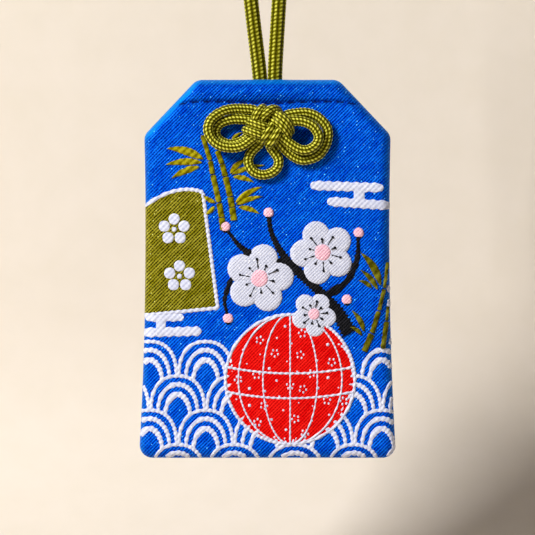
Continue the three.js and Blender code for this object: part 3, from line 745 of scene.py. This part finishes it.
# Plum in flower above the ball: a black branch with twigs, white five-petalled blossoms with pink hearts and
# black stamens, and pink buds. The petals are padded, and each lies partly on the next.
# for the black and the pink floss: groove with painted shade, thread, painted sheen and painted glint
BLACK = brocade("black_floss", "#050506", "#1b1b1e", "#2c2c31", "#b9bcc8", glints=0.12, rib_height=0.06)
PINK = brocade("pink_floss", "#dd9fb4", "#f6c3d1", "#ffdbe4", "#ffffff", rib_height=0.05)
BRANCH_LIFT, KNUCKLE, KNUCKLE_RATE = 0.24, 0.12, 11
BUD_RADIUS, BUD_LIFT, CUP_RADIUS, CUP_DOWN, CUP_LIFT = 0.95, 0.4, 0.62, 0.55, 0.26
# shares of a blossom's radius: out to its petals, a petal, the heart, and out to the stamens' ends
PETAL_OUT, PETAL_SHARE, HEART_SHARE, STAMEN_OUT = 0.55, 0.42, 0.27, 0.56
PETAL_LIFT, PETAL_STEP, PETAL_TALL, HEART_LIFT = 0.32, 0.03, 1.04, 0.52
# stamens run from a share of the way out, and every other one ends short
STAMEN_COUNT, STAMEN_TURN, STAMEN_FROM, STAMEN_TO = 10, 0.3, 0.5, (0.72, 1.0)
STAMEN_HALF, STAMEN_LIFT, ANTHER_RADIUS, ANTHER_LIFT = 0.13, 0.58, 0.3, 0.6
# points of each branch and its half width at the foot and at the tip
BRANCHES = (
    (((15.2, 47.2), (12.6, 42.6), (8.6, 38.4), (3.6, 33.6), (0.9, 29.0), (0.2, 25.4)), 1.25, 0.42),
    (((10.6, 40.4), (14.6, 37.6), (16.6, 33.4), (16.8, 29.2)), 0.8, 0.32),
    (((5.0, 34.9), (0.4, 33.4), (-4.4, 31.6), (-7.4, 28.2)), 0.8, 0.32),
    (((-3.4, 32.0), (-6.0, 35.6), (-7.9, 40.6), (-7.5, 43.6)), 0.55, 0.3),
)
# place, radius and turn of each blossom
BLOSSOMS = (
    ((-1.5, 37.0), 6.5, 0.2),
    ((10.2, 32.2), 6.1, -0.35),
    ((8.6, 43.6), 4.3, 0.55),
)
BUDS = ((0.2, 24.8), (16.9, 28.5), (-7.8, 27.4), (-7.3, 44.4), (14.7, 40.9))
branches = []
for points, foot, tip in BRANCHES:
    spine = smooth_line(points, STEP)
    along = np.linspace(0, 1, len(spine))
    knuckles = 1 + KNUCKLE * np.sin(KNUCKLE_RATE * along + foot)
    branches.append(strip(spine, (foot + (tip - foot) * along) * knuckles, BRANCH_LIFT, columns=7))
branches += [disc((x, y + CUP_DOWN), CUP_RADIUS, CUP_LIFT, cells=6) for x, y in BUDS]
# groove with painted shade, thread, painted sheen and painted glint
PETAL = brocade("white_ribbed_floss", "#b0b3c9", "#d4d7e8", "#e4e6f3", "#ffffff", rib_height=0.05)
petals, hearts = [], [disc(bud, BUD_RADIUS, BUD_LIFT, cells=8) for bud in BUDS]
for middle, radius, first in BLOSSOMS:
    for order, place in enumerate(ring_of(middle, PETAL_OUT * radius, PETAL_COUNT, first)):
        lift, lean = PETAL_LIFT + PETAL_STEP * order, first + 2 * np.pi * order / PETAL_COUNT
        petals.append(disc(place, PETAL_SHARE * radius, lift, cells=26, tall=PETAL_TALL, lean=lean))
    hearts.append(disc(middle, HEART_SHARE * radius, HEART_LIFT, cells=14))
    for k, end in enumerate(ring_of(middle, STAMEN_OUT * radius, STAMEN_COUNT, first + STAMEN_TURN)):
        along = np.linspace(STAMEN_FROM, STAMEN_TO[k % 2], 14)[:, None]
        spine = middle + (np.array(end) - middle) * along
        branches.append(strip(spine, STAMEN_HALF, STAMEN_LIFT, columns=4))
        branches.append(disc(spine[-1], ANTHER_RADIUS, ANTHER_LIFT, cells=5))
raised_piece("branch_embroidery", branches, BLACK)
raised_piece("petal_embroidery", petals, PETAL)
raised_piece("blossom_heart_embroidery", hearts, PINK)

# Linings: thin white cotton, fused behind each brocade panel and cut short of the seam. They lie flat inside
# the pouch, close behind the brocade.
LINING_INSET, LINING_SIDE_INSET, LINING_BEHIND, LINING_CLOTH = 2.6, 3.25, 0.62, 0.25


def plain_cloth(name, light, shade, pitch):
    """Plain woven cotton: two crossed sets of yarns a pitch apart, in a matt off-white."""
    material, add, shader, coords = new_material(name)
    x, _, z = add("SeparateXYZ", {0: coords}).outputs
    yarns = {0: ripples(add, x, pitch), 1: ripples(add, z, pitch)}
    weave = add("Math", yarns, operation="MULTIPLY")
    raised = add("Math", {0: weave, 1: 0.5, 2: 0.5}, operation="MULTIPLY_ADD")
    finish(add, shader, shade, [(raised, light)], raised, 0.05, {"Roughness": 0.9})
    return material


LINING = plain_cloth("fused_cotton_lining", "#efece2", "#cfcabb", 0.4)
lining_rows = np.linspace(LINING_INSET, POUCH_DOWN - LINING_INSET, 100)
lining_across = (half_width(lining_rows) - LINING_SIDE_INSET)[:, None] * np.linspace(-1, 1, 70)[None, :]
lining_down = np.broadcast_to(lining_rows[:, None], lining_across.shape)
lining_depth = np.full_like(lining_across, HALF_THICK - LINING_BEHIND)
for face, side in FACES:
    names = (f"{face}_lining_cloth", f"{face}_lining")
    lining = cloth_sheet(*names, lining_across, lining_down, lining_depth, side, LINING_CLOTH, LINING)

# Seam: a doubled blue thread that closes the sides and the foot, lying in the groove between the panels.
# Hem: running stitches of the same thread, sunk in a groove across both faces below the top edge.
THREAD_DARK, THREAD_LIGHT, THREAD_TWIST = "#000c3c", "#00246e", 0.3
STITCH_SHARE, STITCH_HALF, STITCH_LIFT = 0.66, 0.13, 0.12


def sewing_thread():
    """Twisted polyester thread: fine dark turns 0.3 mm apart along a blue yarn, with a dull shine."""
    material, add, shader, coords = new_material("blue_sewing_thread")
    slant = {0: coords, 1: (1.0, 1.0, 1.0)}
    place = add("VectorMath", slant, operation="DOT_PRODUCT").outputs["Value"]
    wave = ripples(add, place, THREAD_TWIST)
    twist = add("Math", {0: wave, 1: 0.5, 2: 0.5}, operation="MULTIPLY_ADD")
    dull = {"Roughness": 0.7, "Specular IOR Level": 0.1}
    finish(add, shader, THREAD_DARK, [(twist, THREAD_LIGHT)], twist, 0.03, dull)
    return material


def refinish(node, material):
    """Gives a CAD node's own mesh a material."""
    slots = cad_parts[node].data.materials
    slots.clear()
    slots.append(material)


THREAD = sewing_thread()
refinish("perimeter_seam_thread", THREAD)
hem_reach = half_width(np.array(HEM_DOWN + HEM_END_DROP)) - ORNAMENT_EDGE
stitch_count = int(2 * hem_reach / HEM_PITCH)
stitch_along = 0.5 + STITCH_SHARE * np.linspace(-0.5, 0.5, 12)
stitch_half = STITCH_HALF * np.sqrt(1 - np.linspace(-0.98, 0.98, 12) ** 6)
stitches = []
for number in np.arange(stitch_count) - stitch_count / 2:
    across = HEM_PITCH * (number + stitch_along)
    stitches.append(strip(np.stack([across, hem_line(across)], axis=1), stitch_half, STITCH_LIFT))
for face, side in FACES:
    hem = raised_piece(f"{face}_hem_stitches", stitches, THREAD, side)
    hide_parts(f"{face}_hem_stitching")

# Inside: a soft sheet of wadding that fills the front out, a stiffening card, and a wooden tablet in a folded
# paper wrapper. They are stacked loose between the linings.
WADDING_INSET, WADDING_RIM, WADDING_ROUND = 0.15, 0.25, 0.4


def fibre_stuff(name, light, shade, scale, stretch, roughness):
    """A fibrous stuff in two tones: noise of a given fineness, drawn out along the fibres by a stretch."""
    material, add, shader, coords = new_material(name)
    drawn = add("Mapping", {"Vector": coords, "Scale": (1.0, 1.0, stretch)})
    fibres = add("TexNoise", {"Vector": drawn, "Scale": scale, "Detail": 5.0})
    finish(add, shader, shade, [(fibres, light)], fibres, 0.06, {"Roughness": roughness})
    return material


low, high = (np.array(corner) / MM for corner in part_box("wadding_sheet"))
middle, reach = (low + high) / 2, (high - low) / 2 - WADDING_INSET
u, v = np.meshgrid(np.linspace(-1, 1, 41), np.linspace(-1, 1, 61), indexing="ij")
swell = WADDING_RIM + (1 - WADDING_RIM) * ((1 - u**10) * (1 - v**14)) ** WADDING_ROUND
pad_halves = (middle + reach * np.stack([u, hand * swell, v], axis=-1) for hand in (-1, 1))
WADDING = fibre_stuff("polyester_wadding", "#fbfaf6", "#dedcd4", 2400.0, 0.4, 1.0)
wadding = make_piece("wadding_pad", [shell(*pad_halves)], WADDING)
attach(wadding, "pouch")
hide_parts("wadding_sheet")

refinish("stiffener_card", fibre_stuff("grey_board", "#c4b8a2", "#9d917c", 1500.0, 1.0, 0.9))
refinish("paper_wrapper", fibre_stuff("mulberry_paper", "#fbf8ee", "#e6dfcc", 900.0, 0.25, 0.85))
refinish("wooden_tablet", fibre_stuff("planed_cypress", "#e3c79b", "#c69d66", 1300.0, 0.05, 0.6))

# Cord: one round braid of olive rayon. Its loop leaves the mouth as two strands, which part on their way up
# to the peg, and inside the pouch they run down and out through the front behind the knot.
CORD, COLUMNS, PLAIT = 2.7, 8, 0.72
BRAID_RELIEF, MEAN_RELIEF, PLAIT_LEAD, PLAIT_LEAN = 0.055, 0.6, 0.3, 0.5
# the braid's diameter over the cord's, and the fullness of its plaits where it is taut
LOOP_SWELL, TAUT = 1.03, 0.93
STRAND_X, LOOP_BEND, PIVOT_RISE, LOOP_LEAN, LOOP_STEP = 1.46, 5.9, 1.4, 0.65, 0.12
# how far the cord goes down into the mouth, and where it bends there, up from the top edge
LOOP_FOOT, LOOP_BLEND = 2.0, (-0.6, 4.6)
# the gap's tone is painted shade between the plaits, and the crest's a painted highlight on their tops
CORD_GAP_SHADE, CORD_BODY, CORD_CREST_HIGHLIGHT, CORD_SHINE = "#1a1700", "#646000", "#f4f05e", "#fff070"


def braided_cord():
    """Braided rayon: plaits 0.6 to 1.1 mm wide that stand proud, bright on top with a painted highlight and
    silky, nearly black between with painted shade, with a fine grain of yarn."""
    material, add, shader, coords = new_material("olive_braided_rayon")
    plait = add("Attribute", attribute_name="plait").outputs["Fac"]
    yarn = add("TexNoise", {"Vector": coords, "Scale": 2600.0, "Detail": 3.0})
    grain = add("Math", {0: yarn, 1: 0.3, 2: -0.15}, operation="MULTIPLY_ADD")
    height = add("Math", {0: plait, 1: grain}, operation="ADD")
    # shares of the plait's height: painted shade in its gaps, painted highlight on its top
    body, crest_highlight = (add("MapRange", {0: height, 1: low, 2: high}) for low, high in ((0.0, 0.6), (0.74, 1.0)))
    silky = {"Roughness": 0.36, "Specular IOR Level": 0.25, "Specular Tint": linear(CORD_SHINE)}
    finish(add, shader, CORD_GAP_SHADE, [(body, CORD_BODY), (crest_highlight, CORD_CREST_HIGHLIGHT)], yarn, 0.04, silky)
    return material


RAYON = braided_cord()


def plait_height(along, around, pitch):
    """Relief of the braid, from 0 in its gaps to 1 on its crests: columns of plaits run along the cord, each
    plait a dome that leans a little, and each column three tenths of a plait ahead of the last."""
    column = around * COLUMNS
    number = np.floor(column)
    sideways = column - number - 0.5
    turn = along / pitch - PLAIT_LEAD * number - PLAIT_LEAN * sideways
    lengthways = turn - np.floor(turn) - 0.5
    return np.sqrt(np.clip(1 - (2.0 * sideways) ** 2 - (1.65 * lengthways) ** 2, 0, 1))


def braid(name, lines, diameter, sides_per_column=6, fullness=1.0):
    """Braided tubes along lines, each a list of points, the direction that its section is squared to and the
    length of a plait: a circle is carried along the line, and its radius falls by the relief between plaits,
    whose fullness is less where the cord is drawn taut."""
    tubes, heights = [], []
    sides = COLUMNS * sides_per_column
    around = np.arange(sides) / sides
    for line, upright, pitch in lines:
        run = unit(np.gradient(line, axis=0))
        up = unit(upright - (upright * run).sum(axis=1, keepdims=True) * run)
        height = fullness * plait_height(gone_along(line)[:, None], around, pitch)
        radius = diameter * (0.5 + BRAID_RELIEF * (height - MEAN_RELIEF))
        angle = 2 * np.pi * around[:, None]
        ring = np.cos(angle) * up[:, None] + np.sin(angle) * np.cross(run, up)[:, None]
        index = np.arange(height.size).reshape(height.shape)
        faces = [grid_quads(np.hstack([index, index[:, :1]])), index[:1], index[-1:, ::-1]]
        tubes.append((line[:, None] + radius[..., None] * ring, faces))
        heights.append(height)
    piece = make_piece(name, tubes, RAYON)
    mark_points(piece, "plait", np.concatenate(heights))
    return piece


pivot = TOP + PIVOT_RISE
bend_middle = CORD / 2 - LOOP_BEND
bend_angle = np.radians([-80, -50, -25, 0, 25, 50, 80])
bend_x, bend_z = LOOP_BEND * np.sin(bend_angle), bend_middle + LOOP_BEND * np.cos(bend_angle)
loop_bend = np.stack([bend_x, 0 * bend_x, bend_z], axis=1)
leg_share = np.array([0.2, 0.4, 0.6, 0.8, 1.0])
leg_x = LOOP_BEND + (STRAND_X - LOOP_BEND) * leg_share
leg_z = bend_middle - LOOP_BEND / 2 + (pivot - bend_middle + LOOP_BEND / 2) * leg_share
right_leg = np.vstack([np.stack([leg_x, 0 * leg_x, leg_z], axis=1), [STRAND_X, 0.0, TOP - LOOP_FOOT]])
left_leg = (right_leg * [-1, 1, 1])[::-1]
loop_line = smooth_line(np.vstack([left_leg, loop_bend, right_leg]), LOOP_STEP)
loop_line[:, 0] -= LOOP_LEAN * np.sin(np.pi * np.clip(1 - loop_line[:, 2] / TOP, 0, 1))
loop = braid("hanging_cord", [(loop_line, (0, 1, 0), PLAIT)], LOOP_SWELL * CORD, fullness=TAUT)
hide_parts("hanging_loop")
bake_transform(loop)

KNOT_MIDDLE, KNOT_BACK, KNOT_CORD = TOP - 8.7, -3.4, 1.9
RUN_BEND, RUN_TOP, RUN_END, RUN_BLEND = 2.2, TOP - 2.2, KNOT_BACK - 1.4, (-2.6, -4.4)
elbow = RUN_BEND * (1 - np.sqrt(0.5))
run_y = [0.0, 0.0, 0.0, -elbow, -RUN_BEND, FACE_Y, RUN_END]
run_z = [RUN_TOP, (TOP + KNOT_MIDDLE) / 2, KNOT_MIDDLE + RUN_BEND, KNOT_MIDDLE + elbow] + 3 * [KNOT_MIDDLE]
for hand, x in (("left", -STRAND_X), ("right", STRAND_X)):
    run = [(smooth_line(np.stack([np.full(7, x), run_y, run_z], axis=1), STEP), (1, 0, 0), PLAIT)]
    inner = braid(f"{hand}_inner_cord", run, KNOT_CORD, sides_per_column=4)
    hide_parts(f"{hand}_cord_run")
    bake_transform(inner)

# Knot: the same cord, pulled thinner, tied in a flower. Two loops lie to the left, two to the right and one
# below, and in the middle four pairs of strands each cross over one neighbour and dive under the next.
KNOT_PLAIT, KNOT_STEP, LOOP_SHARE, STRAND_WIDTH = 0.67, 0.13, 0.96, 1.6
LOW, HIGH = 0.5, 1.35
# heights off the knot's back in cord diameters, and places across and up from its middle
KNOT_LOOPS = {
    "left_loop_outer": ((LOW,) * 3 + (0.6, 0.9, 1.2) + (HIGH,) * 7, (
        (-0.9, 1.9), (-2.6, 2.9), (-4.4, 3.1), (-6.3, 3.1), (-8.3, 2.6), (-10.3, 1.2), (-11.0, -0.7),
        (-10.3, -2.6), (-8.7, -3.8), (-6.6, -4.15), (-4.7, -3.8), (-3.1, -2.7), (-1.2, -1.4),
    )),
    "left_loop_inner": (LOW, (
        (-1.2, 0.4), (-2.9, 0.9), (-4.7, 1.15), (-6.7, 1.12), (-8.6, 0.5), (-9.6, -0.8),
        (-9.35, -2.2), (-8.1, -3.2), (-6.3, -3.4), (-4.5, -2.7), (-3.0, -1.4), (-1.4, -0.5),
    )),
    "right_loop_outer": ((LOW,) * 11 + (0.6, 0.7, 0.6), (
        (1.0, 0.9), (2.9, 1.7), (4.7, 2.2), (7.2, 2.35), (9.4, 1.5), (10.9, -0.2), (11.2, -1.9),
        (10.6, -4.0), (9.1, -5.7), (6.8, -6.4), (5.1, -5.9), (3.8, -4.9), (2.5, -3.5), (1.6, -2.0),
    )),
    "right_loop_inner": (HIGH, (
        (1.2, 0.4), (3.0, 0.7), (4.9, 0.8), (6.75, 0.6), (8.5, -0.3), (9.45, -2.0),
        (9.0, -3.5), (7.6, -4.5), (6.0, -4.5), (4.4, -3.6), (2.9, -2.4), (1.3, -1.0),
    )),
    "bottom_loop": (LOW, (
        (-0.5, -1.9), (-1.5, -3.4), (-2.8, -4.7), (-3.5, -6.0), (-3.4, -7.4), (-2.5, -8.6), (-0.9, -9.1),
        (0.8, -8.7), (1.9, -7.6), (2.0, -6.2), (1.3, -5.0), (0.5, -3.8), (0.2, -2.0),
    )),
}
# heights of the strands that climb, cross and dive, and of those that fill the middle
LEFT_DIVE, TOP_DIVE = (0.3, 0.9, 1.6, 2.0, 2.0, 1.5, 0.9), (0.5, 1.0, 1.6, 2.05, 2.05, 1.5, 0.9)
RIGHT_DIVE, FILL, LOW_FILL = (0.3, 0.9, 1.6, 2.0, 2.0, 1.6, 0.9), (0.8, 1.0, 0.8), (0.8, 0.9, 0.8)
# the length of a plait, then heights and places as above
KNOT_STRANDS = (
    (0.6, LEFT_DIVE, (
        (-0.6, 2.4), (-0.7, 3.1), (-1.0, 3.1), (-1.6, 2.5), (-2.05, 1.7), (-2.05, 0.9), (-1.9, 0.2))),
    (0.6, TOP_DIVE, (
        (2.2, 1.8), (2.0, 2.6), (1.3, 3.0), (0.4, 2.75), (-0.4, 1.9), (-0.9, 1.0), (-1.15, 0.3))),
    (0.62, LEFT_DIVE, (
        (-2.5, 0.5), (-3.1, 0.5), (-2.9, 0.45), (-2.0, 0.1), (-0.7, -0.3), (0.0, -0.45), (0.6, -0.55))),
    (0.62, LEFT_DIVE, (
        (-3.3, -0.8), (-3.95, -0.85), (-3.75, -0.95), (-2.7, -1.35), (-1.5, -1.75), (-0.8, -2.0),
        (-0.2, -2.2))),
    (1.2, RIGHT_DIVE, (
        (-0.8, -2.1), (-0.95, -2.7), (-0.85, -2.55), (-0.4, -2.0), (0.25, -1.0), (0.9, 0.1), (1.4, 0.8))),
    (1.1, RIGHT_DIVE, (
        (0.5, -3.0), (0.35, -3.6), (0.5, -3.4), (1.0, -2.8), (1.67, -1.7), (2.25, -0.6), (2.65, 0.2))),
    (0.8, RIGHT_DIVE, (
        (3.1, -1.8), (3.7, -1.95), (3.65, -1.4), (3.1, -0.55), (2.15, 0.35), (1.0, 1.0), (0.2, 1.35))),
    (0.7, RIGHT_DIVE, (
        (3.6, -1.2), (4.2, -1.1), (4.1, -0.25), (3.5, 0.75), (2.5, 1.55), (1.4, 2.05), (0.5, 2.35))),
    (0.9, FILL, ((-2.6, 1.7), (0.0, 0.5), (2.6, -1.2))),
    (0.9, FILL, ((-2.4, -1.5), (0.0, -0.6), (2.7, 1.0))),
    (0.9, LOW_FILL, ((0.1, 2.4), (0.2, 0.0), (0.3, -2.4))),
)


def knot_line(heights, places):
    """The line of the knot's cord: through places on its back, out by heights in cord diameters."""
    across, up = np.array(places).T
    out = np.broadcast_to(heights, across.shape)
    return smooth_line(np.stack([across, KNOT_BACK - KNOT_CORD * out, KNOT_MIDDLE + up], axis=1), KNOT_STEP)


for name, course in KNOT_LOOPS.items():
    run = [(knot_line(*course), (0, 1, 0), KNOT_PLAIT)]
    knot_loop = braid(f"{name}_cord", run, LOOP_SHARE * KNOT_CORD)
    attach(knot_loop, "knot")
    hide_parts(name)

woven = []
for plait, heights, places in KNOT_STRANDS:
    (first_x, first_up), (last_x, last_up) = places[0], places[-1]
    woven.append((knot_line(heights, places), (last_up - first_up, 0.0, first_x - last_x), plait))
core = braid("knot_middle_cord", woven, STRAND_WIDTH)
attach(core, "knot")
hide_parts("knot_core")
